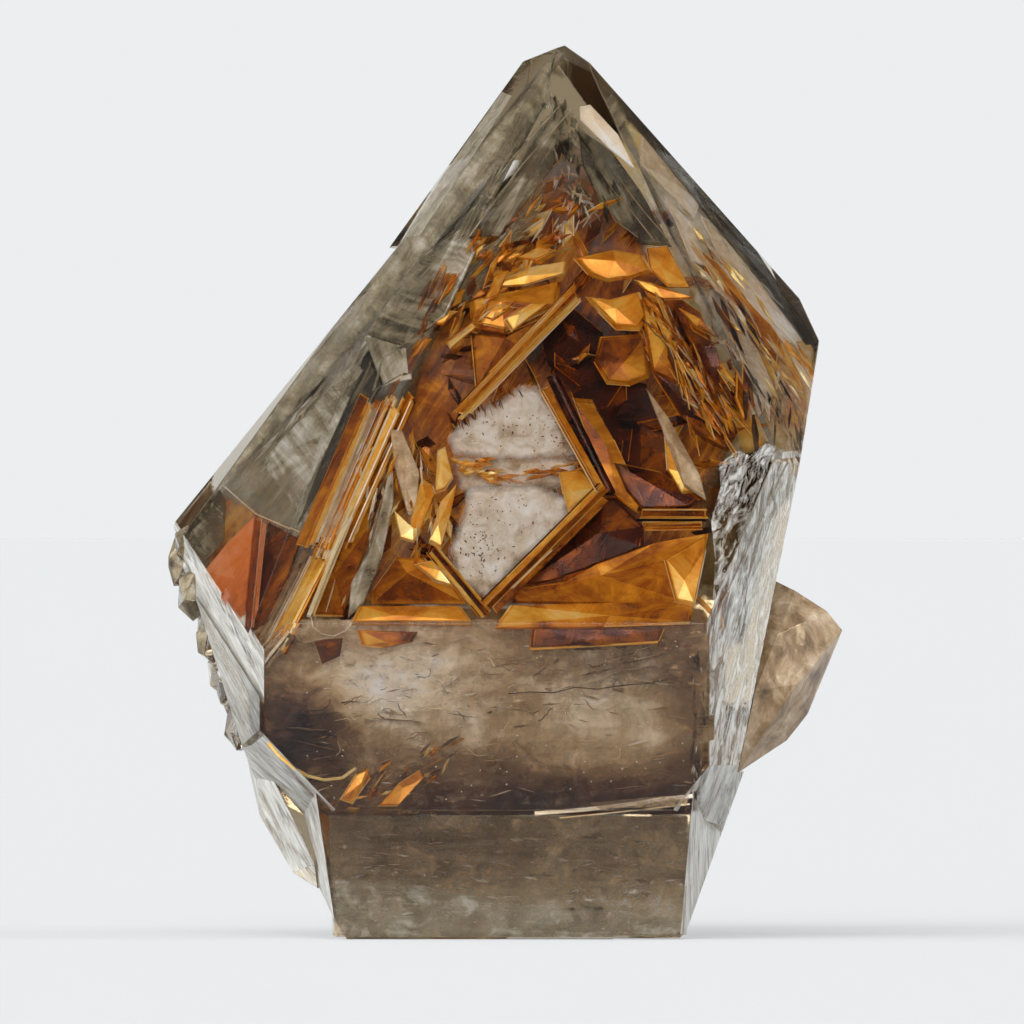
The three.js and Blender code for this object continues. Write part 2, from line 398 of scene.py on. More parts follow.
class Films:
    """Thin closed plates and bars of one material, gathered in one mesh."""

    def __init__(self, name, material, glint=False):
        self.name, self.material, self.glint = name, material, glint
        self.bm = bmesh.new()
        self.where = self.bm.loops.layers.uv.new("UVMap")
        self.tone = self.bm.loops.layers.uv.new("Tone")

    def face(self, corners):
        """corners: (vert, place on the film in mm, tone) each."""
        try:
            f = self.bm.faces.new([c[0] for c in corners])
        except ValueError:
            return
        for loop, (_, at, tone) in zip(f.loops, corners):
            loop[self.where].uv = at
            loop[self.tone].uv = tone

    def solid(self, rings, open_front=False):
        """Closes a stack of rings of (point, place, tone): caps on the first and last, quads between."""
        made = [[(self.bm.verts.new(keep_in(p)), at, tone) for p, at, tone in ring] for ring in rings]
        if not open_front:
            self.face(made[0])
        self.face(list(reversed(made[-1])))
        for a, b in zip(made, made[1:]):
            for i in range(len(a)):
                j = (i + 1) % len(a)
                self.face([a[i], b[i], b[j], a[j]])
        return made

    def plate(self, face, pixels, depth, tones, edge=0.25, rim=0.45, dome=0.18, cover=0.95, fold=0.1):
        """A plate outlined in photo pixels. tones run from its first point to the one farthest from it.

        edge is how much brighter its rim is, a painted highlight, rim the rim's width in mm, dome how far
        the middle stands proud of the rim in mm, and fold how much the facets round its peak differ in tone.
        """
        n = FACE[face][0]
        points = [inside(px, py, face, depth) for px, py in pixels]
        centre = sum(points, Vector()) / len(points)
        u = max((points[i] - points[i - 1] for i in range(len(points))), key=lambda e: e.length).normalized()
        v = n.cross(u)
        far = max(points, key=lambda p: (p - points[0]).length)
        run = far - points[0]
        origin = seat()
        size = max((p - centre).length for p in points)
        shrink = max(0.3, 1 - rim / size)
        covers = [cover - random.uniform(0.0, 0.35) for _ in points]
        shine = [random.uniform(-0.7, 1.3) for _ in points]

        def corner(p, lift, up, hold):
            along = max(0.0, min(1.0, (p - points[0]).dot(run) / run.length_squared))
            tone = tones[0] + (tones[1] - tones[0]) * along + lift
            at = origin + Vector(((p - centre).dot(u), (p - centre).dot(v)))
            return p + n * up, at, (tone, hold)

        rings = []
        for share, lift, up in PLATE_RINGS:
            scale = 1 - share * (1 - shrink)
            rings.append([
                corner(centre + (p - centre) * scale, lift * edge * k, PLATE_HALF + up * dome, c)
                for p, c, k in zip(points, covers, shine)
            ])
        rings.append([corner(p, -0.1, -PLATE_HALF, c) for p, c in zip(points, covers)])
        ring = self.solid(rings, True)[0]
        peak = centre + (random.choice(points) - centre) * random.uniform(0.1, 0.45) * shrink
        top, at, tone = corner(peak, 0.0, PLATE_HALF + dome + fold * random.uniform(-1, 3), cover - 0.1)
        top = self.bm.verts.new(keep_in(top))
        for a, b in zip(ring, ring[1:] + ring[:1]):
            shift = random.uniform(-1, 1) * fold
            facet = [(top, at, tone), a, b]
            self.face([(vert, where, (own[0] + shift, own[1])) for vert, where, own in facet])
        # Two bright hairlines along the edges of a large plate: painted glints.
        if self.glint and size > LARGE:
            for i in random.sample(range(len(pixels)), 2):
                bright = max(tones) + random.uniform(0.1, 0.3)
                width = random.uniform(0.6, 1.4)
                self.line(face, [pixels[i - 1], pixels[i]], width, max(0.2, depth - 0.25), (bright, bright))

    def bar(self, face, start, end, width, depth, tones, height=0.3, taper=1.0, stripe=1.0, cover=0.96):
        """A straight bar between two photo pixels with lengthwise strips. width is in pixels."""
        n = FACE[face][0]
        a, b = inside(*start, face, depth), inside(*end, face, depth)
        v = n.cross((b - a).normalized())
        origin = seat()
        rings = []
        for at, half, tone, along in (
            (a, width * PIXEL / 2, tones[0], 0.0),
            (b, width * PIXEL / 2 * taper, tones[1], (b - a).length),
        ):
            rings.append([
                (at + v * (s * half) + n * (h * height), origin + Vector((along, s * half)),
                 (tone + stripe * t, cover))
                for s, h, t in BAR_PROFILE
            ])
        self.solid(rings)

    def bundle(self, face, start, end, width, depth, tones, strips=5, taper=1.0):
        """A bar of thin strips side by side between two photo pixels, with ragged ends and bright hairlines
        painted along it as highlights.

        width is in pixels, and taper is the far end's share of it.
        """
        dx, dy = end[0] - start[0], end[1] - start[1]
        length = math.hypot(dx, dy)
        ux, uy = dx / length, dy / length
        edges = sorted([-0.5, 0.5] + [random.uniform(-0.44, 0.44) for _ in range(strips - 1)])
        for low, high in zip(edges, edges[1:]):
            begin, stop = random.uniform(-0.02, 0.04) * length, random.uniform(0.95, 1.02) * length
            outline = []
            for along, across, slim in (
                (begin, low, 1.0), (stop, low, taper), (stop + 0.01 * length, high, taper),
                (begin - 0.01 * length, high, 1.0),
            ):
                offset = across * width * slim
                outline.append((start[0] + ux * along - uy * offset, start[1] + uy * along + ux * offset))
            shift = random.uniform(-0.26, 0.24)
            lift = random.uniform(-0.2, 0.2)
            self.plate(face, outline, max(0.3, depth + lift), (tones[0] + shift, tones[1] + shift), 0.22,
                       (high - low) * width * PIXEL * 0.4, random.uniform(0.02, 0.16), 1.0, 0.05)
        # Bright hairlines along the bundle: painted highlights.
        for across in edges[1:-1:2]:
            offset = across * width
            ends = [
                (start[0] + ux * along - uy * offset, start[1] + uy * along + ux * offset)
                for along in (random.uniform(0.0, 0.3) * length, random.uniform(0.6, 1.0) * length)
            ]
            bright = max(tones) + random.uniform(0.15, 0.35)
            self.line(face, ends, random.uniform(0.7, 1.5), max(0.2, depth - 0.35), (bright, bright))

    def line(self, face, pixels, width, depth, tones, wander=0.0):
        """A thin line through photo pixels, with each point off its place by up to wander pixels."""
        places = [
            (x + random.uniform(-1, 1) * wander, y + random.uniform(-1, 1) * wander)
            for x, y in pixels
        ]
        steps = len(places) - 1
        for i, (start, end) in enumerate(zip(places, places[1:])):
            first, last = (tones[0] + (tones[1] - tones[0]) * k / steps for k in (i, i + 1))
            self.bar(face, start, end, width, depth, (first, last), 0.08, 1.0, 0.15)

    def finish(self):
        """The gathered films become one piece."""
        bmesh.ops.triangulate(self.bm, faces=self.bm.faces)
        bmesh.ops.recalc_face_normals(self.bm, faces=self.bm.faces)
        return piece(self.name, self.bm, self.material)


def edge_distance(px, py, outline):
    """How far a pixel lies inside an outline of pixels; negative outside."""
    best, within = 1e9, False
    for (x0, y0), (x1, y1) in zip(outline, outline[1:] + outline[:1]):
        dx, dy = x1 - x0, y1 - y0
        t = max(0.0, min(1.0, ((px - x0) * dx + (py - y0) * dy) / (dx * dx + dy * dy)))
        best = min(best, math.hypot(px - x0 - t * dx, py - y0 - t * dy))
        if (y0 > py) != (y1 > py) and px < x0 + (py - y0) / dy * dx:
            within = not within
    return best if within else -best


def field(px, py, base, lobes):
    """A value with soft round rises and dips: each lobe is (x, y, half width, half height, lift)."""
    for x, y, rx, ry, lift in lobes:
        base += lift * math.exp(-(((px - x) / rx) ** 2) - ((py - y) / ry) ** 2)
    return base


# How a veil's distance from the outer faces grows with its depth, and the scale and start of its waves.
GAP_GROWTH = 0.07
WAVE_SCALE = 0.16
WAVE_START = 3.1


def sheet(name, material, outline, face, depth, tone, cover, fade=26, wave=0.5, cell=7, turn=0.0):
    """A veil under a face: tone and cover are (base, lobes) fields, and cover fades at the outline.

    turn is the direction of its streaks in degrees from level.
    """
    n = FACE[face][0]
    xs, ys = [p[0] for p in outline], [p[1] for p in outline]
    across, down = math.ceil((max(xs) - min(xs)) / cell), math.ceil((max(ys) - min(ys)) / cell)
    bm = bmesh.new()
    where = bm.loops.layers.uv.new("UVMap")
    tones = bm.loops.layers.uv.new("Tone")
    origin = seat()
    c, s = math.cos(math.radians(turn)), math.sin(math.radians(turn))
    gap = WALL_GAP + GAP_GROWTH * depth
    grid = {}
    for j in range(down + 1):
        for i in range(across + 1):
            px, py = min(xs) + i * cell, min(ys) + j * cell
            inset = edge_distance(px, py, outline)
            if inset < -cell:
                continue
            p = inside(px, py, face, depth)
            p = p + n * (wave * noise.noise(p * WAVE_SCALE + Vector((depth, WAVE_START, 0))))
            if p.z < gap - cell * PIXEL:
                continue
            soft = max(0.0, min(1.0, inset / fade))
            x, y = (px - MIDDLE) * PIXEL, (MIDDLE - py) * PIXEL
            at = origin + Vector((x * c + y * s, y * c - x * s))
            hold = field(px, py, *cover) * soft - (1 - soft)
            grid[i, j] = bm.verts.new(keep_in(p, gap)), at, (field(px, py, *tone), hold)
    for i, j in list(grid):
        corners = [(i, j), (i + 1, j), (i + 1, j + 1), (i, j + 1)]
        if all(k in grid for k in corners):
            f = bm.faces.new([grid[k][0] for k in corners])
            for loop, k in zip(f.loops, corners):
                loop[where].uv = grid[k][1]
                loop[tones].uv = grid[k][2]
    return piece(name, bm, material, True)


def patch(name, material, outline, face, lift=0.03):
    """A flat coat on part of one face, outlined in photo pixels."""
    bm = bmesh.new()
    where = bm.loops.layers.uv.new("UVMap")
    f = bm.faces.new([bm.verts.new(inside(px, py, face, -lift)) for px, py in outline])
    for loop, (px, py) in zip(f.loops, outline):
        loop[where].uv = (px * PIXEL, -py * PIXEL)
    bmesh.ops.triangulate(bm, faces=bm.faces)
    return piece(name, bm, material)


def near(azimuth, polar, spread=4.0):
    """Picks facets whose normal is close to a given one."""
    n = normal_of(azimuth, polar)
    return lambda normal, centre: normal.dot(n) > math.cos(math.radians(spread))


def beyond(face, low, high, gap=0.06):
    """Picks facets that stand out past a main face, between two heights in mm."""
    n, offset = FACE[face]
    return lambda normal, centre: n.dot(centre) - offset > gap and low < centre.z < high


# Where the small crystal on the right stands, in mm.
SIDE_CRYSTAL_LEFT = 17
SIDE_CRYSTAL_FOOT, SIDE_CRYSTAL_TOP = 12, 28


def side_crystal(normal, centre):
    """Picks the facets of the small crystal that grows from the right side."""
    wall = near(*RIGHT_ROOT)(normal, centre) or near(*RIGHT_SIDE)(normal, centre)
    return not wall and centre.x > SIDE_CRYSTAL_LEFT and SIDE_CRYSTAL_FOOT < centre.z < SIDE_CRYSTAL_TOP


# The facets low on both sides: how far off the middle and above the floor, in mm, and how far they face out.
LOW_REACH = 11
LOW_FOOT = 0.2
LOW_LEAN = 0.3


def low_side(sign, top):
    """Picks facets low on the left (sign -1) or on the right (sign 1), up to a height in mm."""
    def pick(normal, centre):
        outward = sign * normal.x > LOW_LEAN and sign * centre.x > LOW_REACH
        return outward and LOW_FOOT < centre.z < top
    return pick


def skin(name, material, pick, lift=0.03):
    """A coat just off every outer facet that pick chooses."""
    bm = bmesh.new()
    where = bm.loops.layers.uv.new("UVMap")
    for _, normal, corners in TRIANGLES:
        if not pick(normal, sum(corners, Vector()) / 3):
            continue
        u = Vector((0, 0, 1)).cross(normal)
        u = u.normalized() if u.length > 0.1 else Vector((1, 0, 0))
        v = normal.cross(u)
        f = bm.faces.new([bm.verts.new(p + normal * lift) for p in corners])
        for loop in f.loops:
            loop[where].uv = (loop.vert.co.dot(u), loop.vert.co.dot(v))
    return piece(name, bm, material)


# The clear crystal.
mesh = cad_mesh.copy()
mesh.materials.clear()
crystal = bpy.data.objects.new("clear_crystal", mesh)
bpy.context.collection.objects.link(crystal)
for polygon in mesh.polygons:
    polygon.use_smooth = False
mesh.materials.append(quartz())
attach(crystal, "root")
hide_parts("crystal")

amber = Films("golden_films", AMBER, True)
pale = Films("pale_films", PALE)
smoke = Films("smoke_films", SMOKE)
salmon = Films("salmon_films", SALMON, True)


# Zones of the photo, in pixels: what shows through each face.
PYRAMID_ZONE = [
    (556, 72), (600, 130), (660, 236), (704, 318), (746, 402), (764, 446), (722, 490), (712, 620),
    (300, 620), (340, 520), (400, 372), (470, 220),
]
LEFT_ZONE = [
    (536, 76), (470, 220), (400, 372), (340, 520), (300, 620), (262, 650), (200, 566), (182, 520),
    (240, 440), (330, 330), (395, 245),
]
LEFT_RIM = [
    (560, 38), (522, 44), (458, 126), (372, 236), (306, 322), (214, 432), (156, 506), (178, 540), (262, 456),
    (354, 354), (428, 268), (506, 172), (556, 96),
]
LEFT_END = [(190, 506), (214, 478), (312, 530), (300, 580), (262, 656), (200, 572)]
RIGHT_ZONE = [
    (600, 84), (650, 130), (750, 250), (824, 345), (820, 420), (800, 460), (768, 458), (744, 402),
    (718, 350), (694, 300), (666, 242), (632, 164),
]
FRONT_ZONE = [(250, 640), (300, 618), (708, 618), (714, 640), (704, 816), (330, 822), (290, 780), (256, 740)]
ROOT_ZONE = [(326, 812), (692, 812), (688, 942), (330, 946)]
ROOT_FOOT = [(326, 872), (436, 880), (500, 896), (600, 902), (690, 912), (690, 946), (326, 950)]


# Flakes scattered over the photo's pixels.
def in_box(x0, y0, x1, y1):
    """Pixels scattered over a box."""
    return lambda: (random.uniform(x0, x1), random.uniform(y0, y1))


def in_zone(outline, inset):
    """Pixels scattered inside an outline, at least inset from it."""
    xs, ys = [p[0] for p in outline], [p[1] for p in outline]

    def place():
        while True:
            x, y = random.uniform(min(xs), max(xs)), random.uniform(min(ys), max(ys))
            if edge_distance(x, y, outline) > inset:
                return x, y
    return place


def along(x0, y0, x1, y1, wide):
    """Pixels scattered about a slanting line."""
    def place():
        t = random.random()
        x = x0 + (x1 - x0) * t + wide * (random.random() - 0.5)
        return x, y0 + (y1 - y0) * t + wide * (random.random() - 0.5)
    return place


def slivers(face, films, count, place, angle, spread, runs, tones, wide=(1.5, 5.0), deep=(0.5, 2.2)):
    """Many pointed flakes. place gives a random pixel, angle and spread their slant in degrees below level.

    runs and wide are the least and most of their length and half width in pixels, deep of their depth in mm.
    """
    for _ in range(count):
        x, y = place()
        turn = math.radians(angle + spread * (random.random() - 0.5))
        run = random.uniform(*runs)
        half = random.uniform(*wide)
        c, s = math.cos(turn), math.sin(turn)
        belly = random.uniform(0.25, 0.7)
        outline = [
            (x + run * t * c - side * half * s, y + run * t * s + side * half * c)
            for t, side in ((0, 0), (belly, 1), (1, 0), (1 - belly, -1))
        ]
        tone = random.uniform(*tones)
        depth = random.uniform(*deep)
        end_tone = tone + random.uniform(-0.15, 0.2)
        films.plate(face, outline, depth, (tone, end_tone), 0.2, 0.25, 0.12, random.uniform(0.7, 1.0), 0.14)


def lay(rows, *face):
    """Makes films in order. Each row is a maker and what it is given, with places in photo pixels.

    Rows that are all seen through one face leave it to the call.
    """
    for make, *given in rows:
        make(*face, *given)


# Strips along the left ridge with their pale foot, and the orange triangle beside them.
LEFT_BUNDLE = [
    (amber.bundle, "left", (374, 402), (312, 548), 26, 0.8, (0.5, 0.6), 9),
    (pale.bundle, "left", (378, 410), (322, 545), 8, 0.6, (0.62, 0.72), 3),
    (amber.bundle, "left", (390, 404), (318, 566), 12, 1.0, (0.54, 0.66), 5),
    (amber.bundle, "left", (400, 396), (336, 540), 10, 1.5, (0.42, 0.52), 4),
    (amber.bundle, "pyramid", (349, 519), (311, 615), 7, 0.8, (0.72, 0.7), 4),
    (pale.bundle, "left", (312, 556), (266, 646), 14, 0.8, (0.5, 0.6), 5),
    (amber.bundle, "left", (320, 558), (274, 650), 9, 0.8, (0.62, 0.58), 4),
    (pale.bundle, "front", (292, 633), (263, 667), 10, 0.6, (0.5, 0.6), 3),
    (salmon.plate, "left", [(255, 516), (246, 612), (241, 618), (204, 572), (226, 545)], 1.3, (0.6, 0.46),
     0.1, 0.4, 0.1, 1.2, 0.06),
    (salmon.bundle, "left", (261, 519), (250, 634), 11, 0.9, (0.56, 0.5), 3),
]

# The olive pane right of the bundle, the clear grey ribbon across it and the bubble at its foot.
LEFT_PANES = [
    (amber.plate, "pyramid", [(369, 466), (373, 523), (343, 616), (313, 616), (322, 562)], 1.5, (0.42, 0.3),
     0.2, 0.4),
    (smoke.plate, "pyramid", [(392, 456), (394, 502), (382, 558), (363, 604), (348, 618), (351, 584),
     (369, 553), (382, 505)], 0.9, (0.66, 0.56), 0.16, 0.35, 0.1, 0.9, 0.12),
    (pale.line, "front", [(311, 617), (313, 627), (322, 634), (334, 636), (345, 631), (351, 624)], 1.0, 0.4,
     (0.8, 0.9)),
    (slivers, "pyramid", pale, 20, along(388, 466, 356, 610, 14), 106, 30, (10, 34), (0.35, 0.9),
     (0.6, 2.4)),
]

# Flat bars along the edge between pyramid and prism, and the plates just above them.
SHOULDER_BARS = [
    (amber.plate, [(359, 607), (461, 607), (472, 622), (352, 622)], 0.7, (0.48, 0.5), 0.3, 0.3),
    (amber.plate, [(373, 590), (396, 558), (424, 558), (457, 590), (466, 604), (371, 604)], 1.6,
     (0.3, 0.45), 0.12),
    (amber.plate, [(414, 565), (431, 561), (446, 572), (456, 589), (436, 583)], 1.0, (0.55, 0.7), 0.3, 0.4,
     0.3),
    (amber.plate, [(495, 626), (510, 606), (673, 602), (694, 606), (690, 622), (604, 625)], 0.7,
     (0.48, 0.48), 0.32, 0.35, 0.1),
    (amber.plate, [(512, 603), (516, 591), (559, 586), (595, 566), (657, 543), (708, 534), (704, 552),
     (694, 606)], 1.3, (0.32, 0.42), 0.16, 0.4),
    (amber.plate, [(664, 560), (706, 536), (706, 550), (694, 608), (676, 604)], 0.9, (0.5, 0.66), 0.2, 0.5),
    (amber.bundle, (641, 514), (706, 514), 9, 0.9, (0.46, 0.5), 3),
    (amber.bundle, (643, 526), (704, 525), 9, 1.0, (0.52, 0.5), 3),
    (amber.bar, (636, 520), (706, 520), 3, 0.6, (0.05, 0.05), 0.1, 1.0, 0.1),
]

# The V that frames the pale window, and the dark plates right of it.
MIDDLE_PLATES = [
    (amber.bundle, (488, 608), (604, 492), 20, 0.8, (0.38, 0.44), 6),
    (amber.bundle, (485, 614), (432, 550), 13, 0.9, (0.4, 0.5), 4),
    (amber.bar, (512, 588), (552, 550), 3, 0.5, (0.9, 0.85), 0.1, 0.6, 0.2),
    (amber.plate, [(516, 588), (604, 500), (616, 500), (644, 527), (644, 547), (593, 566), (551, 582)], 2.2,
     (0.28, 0.14), 0.14),
    (amber.plate, [(571, 392), (600, 376), (646, 384), (664, 432), (670, 474), (704, 500), (640, 514),
     (616, 498)], 2.4, (0.06, 0.3), 0.1, 0.5, 0.0),
    (amber.plate, [(573, 398), (592, 400), (614, 440), (642, 500), (636, 512), (616, 498), (592, 448)], 1.9,
     (0.34, 0.48), 0.14, 0.5, 0.1),
    (amber.plate, [(612, 462), (660, 472), (700, 500), (690, 508), (642, 510), (626, 492)], 1.8,
     (0.14, 0.26), 0.2),
    (amber.bar, (552, 376), (610, 494), 12, 1.3, (0.04, 0.08), 0.2, 1.0, 0.2),
    (amber.bundle, (543, 388), (600, 490), 10, 0.9, (0.4, 0.46), 3),
    (amber.plate, [(538, 326), (566, 302), (602, 332), (612, 392), (572, 392), (548, 364)], 2.8,
     (0.06, 0.1), 0.08, 0.4, 0.0, 0.95, 0.0),
    (amber.plate, [(559, 472), (581, 470), (598, 490), (568, 512), (563, 494)], 1.2, (0.55, 0.66), 0.2),
    (pale.plate, [(646, 388), (668, 418), (700, 476), (706, 500), (684, 486), (666, 440)], 1.0, (0.5, 0.62),
     0.24, 0.4),
    (amber.plate, [(663, 416), (691, 468), (704, 492), (682, 494), (667, 470)], 1.5, (0.5, 0.6), 0.25),
]

# The yellow bar, the folded ribbons and the plates under the summit.
UPPER_PLATES = [
    (amber.bundle, (577, 292), (460, 414), 18, 0.8, (0.46, 0.5), 6, 0.8),
    (amber.bar, (564, 298), (470, 398), 3, 0.4, (0.85, 0.8), 0.1, 0.7, 0.2),
    (amber.plate, [(471, 336), (506, 334), (547, 316), (520, 346), (476, 390)], 1.7, (0.36, 0.2), 0.2),
    (amber.bundle, (447, 346), (474, 324), 8, 0.8, (0.56, 0.5), 2),
    (amber.bundle, (474, 325), (506, 331), 7, 0.8, (0.58, 0.5), 2),
    (amber.plate, [(469, 300), (520, 290), (561, 282), (558, 306), (503, 332), (471, 326)], 1.5,
     (0.5, 0.36), 0.25, 0.5, 0.3),
    (amber.plate, [(504, 320), (532, 304), (548, 304), (512, 332)], 1.0, (0.62, 0.5), 0.2, 0.3),
    (amber.plate, [(484, 288), (530, 268), (566, 262), (564, 274), (524, 286)], 1.1, (0.56, 0.66), 0.2,
     0.3),
    (amber.plate, [(574, 259), (613, 250), (643, 256), (652, 272), (630, 279), (607, 282), (588, 275)], 0.8,
     (0.5, 0.56), 0.3, 0.5, 0.3),
    (amber.plate, [(646, 248), (667, 246), (689, 287), (668, 287), (650, 270)], 0.7, (0.5, 0.58), 0.25,
     0.4),
    (amber.plate, [(634, 280), (652, 284), (694, 299), (664, 300), (646, 291)], 0.9, (0.56, 0.54), 0.25,
     0.3),
    (amber.plate, [(585, 297), (610, 300), (640, 292), (648, 318), (640, 331), (616, 330), (598, 312)], 1.2,
     (0.56, 0.4), 0.3, 0.7, 0.35),
    (amber.plate, [(600, 337), (648, 334), (650, 378), (630, 386), (607, 384), (594, 362)], 1.7,
     (0.24, 0.42), 0.28, 0.6, 0.3),
]

# Greyish facets along the ridge left of the summit, the dark and pale ones under the left face, and two pale
# lines along that ridge that are painted highlights.
RIDGE_FACETS = [
    (smoke.plate, "left", [(462, 232), (470, 250), (441, 313), (405, 349), (366, 337), (420, 262)], 0.7,
     (0.68, 0.46), 0.2, 0.3, 0.1, 0.95),
    (smoke.plate, "left", [(544, 90), (538, 100), (470, 236), (456, 244), (500, 166), (528, 110)], 0.6,
     (0.4, 0.6), 0.2, 0.3, 0.1, 0.85),
    (smoke.plate, "pyramid", [(566, 114), (552, 169), (500, 236), (478, 236), (540, 130)], 0.8, (0.5, 0.4),
     0.1, 0.3, 0.1, 0.8),
    (smoke.plate, "pyramid", [(552, 172), (506, 232), (470, 262), (452, 300), (472, 300), (530, 232)], 0.9,
     (0.55, 0.42), 0.1, 0.4, 0.1, 0.6),
    (smoke.plate, "left", [(366, 338), (406, 349), (408, 378), (386, 389)], 0.5, (0.6, 0.7), 0.08, 0.2,
     0.02, 1.3, 0.02),
    (smoke.plate, "left", [(371, 349), (384, 389), (350, 440), (301, 526), (322, 470)], 1.5, (0.14, 0.26),
     0.14, 0.4),
    (smoke.plate, "left", [(356, 361), (366, 372), (330, 450), (298, 511), (262, 462), (300, 420)], 1.3,
     (0.66, 0.74), 0.1, 0.4, 0.1, 0.7),
    (amber.plate, "left", [(269, 522), (304, 542), (290, 582), (256, 650), (250, 640)], 1.8, (0.2, 0.26),
     0.06),
    (smoke.plate, "left", [(188, 520), (215, 486), (226, 500), (224, 540), (206, 560), (184, 538)], 0.8,
     (0.3, 0.42), 0.1, 0.4, 0.1, 0.8),
    (pale.line, "left", [(216, 482), (256, 514), (302, 534)], 1.6, 0.5, (0.9, 0.7)),
    (smoke.line, "left", [(549, 58), (545, 78), (541, 100), (520, 140)], 4.0, 0.5, (0.02, 0.1)),
    # Two pale lines along the ridge left of the summit: painted highlights.
    (smoke.line, "left", [(572, 84), (520, 158), (466, 238), (408, 312)], 1.0, 0.4, (0.6, 0.75), 2),
    (smoke.line, "left", [(563, 84), (511, 158), (457, 238), (399, 312)], 1.0, 0.4, (0.6, 0.75), 2),
    (smoke.plate, "pyramid", [(578, 128), (612, 152), (640, 190), (672, 247), (640, 244), (600, 204),
     (582, 164)], 1.4, (0.3, 0.38), 0.1, 0.4),
]
SUMMIT_HAIRS = [((598, 168), (652, 240)), ((612, 166), (664, 240)), ((590, 186), (636, 240))]
HAIR_STEPS = (0, 0.3, 0.6, 1)

# Beige panels under the right pyramid face, and the dark rim along its outer edge.
RIGHT_PANELS = [
    ([(699, 214), (742, 256), (804, 340), (784, 344), (734, 292)], (0.8, 0.9)),
    ([(640, 134), (700, 204), (694, 218), (640, 164)], (0.74, 0.84)),
    ([(664, 196), (690, 222), (708, 268), (690, 262)], (0.8, 0.9)),
    ([(722, 296), (742, 316), (774, 392), (756, 420), (736, 350)], (0.66, 0.76)),
]
RIGHT_RIM = [(621, 93), (640, 112), (758, 250), (817, 343), (806, 345), (744, 262), (626, 114)]


def ridges():
    """What lies along the ridges on both sides of the pyramid face."""
    lay(RIDGE_FACETS)
    for (x0, y0), (x1, y1) in SUMMIT_HAIRS:
        hair = [(x0 + (x1 - x0) * t, y0 + (y1 - y0) * t) for t in HAIR_STEPS]
        pale.line("pyramid", hair, 1.0, 0.8, (0.4, 0.7), 3)
    for outline, tones in RIGHT_PANELS:
        pale.plate("right", outline, 0.7, tones, 0.15, 0.4, 0.1, 0.92)
    smoke.plate("right", RIGHT_RIM, 0.5, (0.24, 0.2), 0.1, 0.3, 0.1, 0.8)


# Cracks, wisps and specks behind the front prism face, and the golden rim at its left foot.
FRONT_CRACK = [
    (508, 693), (530, 690), (552, 691), (574, 688), (598, 690), (622, 684), (648, 682), (676, 676),
]
GOLDEN_RIM = [(268, 743), (280, 757), (294, 768), (308, 776), (324, 780), (342, 778), (356, 768)]
WISP_X, WISP_Y = (300, 660), (644, 760)
WISP_STEP = 4
WISP_COUNT = 60
WISP_TONES = ((0.15, 0.25), (0.2, 0.3), (0.75, 0.8))
SPECK_X, SPECK_Y = (300, 690), (640, 800)
SPECK_COUNT = 90
FRONT_FLAKES = [
    (slivers, "front", pale, 40, along(300, 700, 660, 660, 60), -4, 26, (14, 60), (0.4, 0.75), (0.6, 2.5)),
    (slivers, "front", pale, 30, along(280, 700, 330, 780, 30), 8, 30, (14, 50), (0.05, 0.35), (0.6, 2.5)),
    (slivers, "front", pale, 24, along(430, 690, 510, 702, 16), -10, 60, (6, 18), (0.7, 1.0), (0.6, 2.0)),
    (slivers, "front", pale, 160, in_box(290, 640, 690, 800), -3, 40, (6, 30), (0.25, 0.85), (0.4, 1.6)),
    (slivers, "root", smoke, 200, in_box(345, 826, 668, 930), 2, 30, (5, 26), (0.15, 0.9), (0.5, 2.2)),
    (slivers, "front", pale, 40, along(697, 640, 697, 790, 10), 90, 30, (6, 24), (0.05, 0.3), (0.6, 2.5)),
    (slivers, "front", pale, 16, along(697, 640, 697, 790, 10), 90, 30, (4, 12), (0.8, 0.95), (0.4, 1.5)),
    # A pale plate at the right of the ledge: a painted highlight.
    (pale.plate, "front", [(590, 803), (650, 797), (690, 795), (686, 806), (600, 809)], 0.3, (0.4, 0.6),
     0.1, 0.2, 0.05, 0.6),
]


def front_cracks():
    """The cracks, then wandering wisps, bright specks and flakes."""
    pale.line("front", FRONT_CRACK, 1.0, 0.4, (0.2, 0.15), 2)
    amber.line("front", GOLDEN_RIM, 3.0, 0.3, (0.7, 0.8))
    for _ in range(WISP_COUNT):
        x, y = random.uniform(*WISP_X), random.uniform(*WISP_Y)
        turn, points = random.uniform(-0.5, 0.5), [(x, y)]
        for _ in range(random.randint(2, 5)):
            turn += random.uniform(-0.8, 0.8)
            x, y = x + WISP_STEP * math.cos(turn), y + WISP_STEP * math.sin(turn)
            points.append((x, y))
        width = random.uniform(0.5, 1.1)
        pale.line("front", points, width, 0.4, random.choice(WISP_TONES))
    for _ in range(SPECK_COUNT):
        x, y = random.uniform(*SPECK_X), random.uniform(*SPECK_Y)
        pale.bar("front", (x, y), (x + random.uniform(0.6, 2), y + 0.4), 1.0, 0.4, (0.9, 0.9), 0.05)
    lay(FRONT_FLAKES)


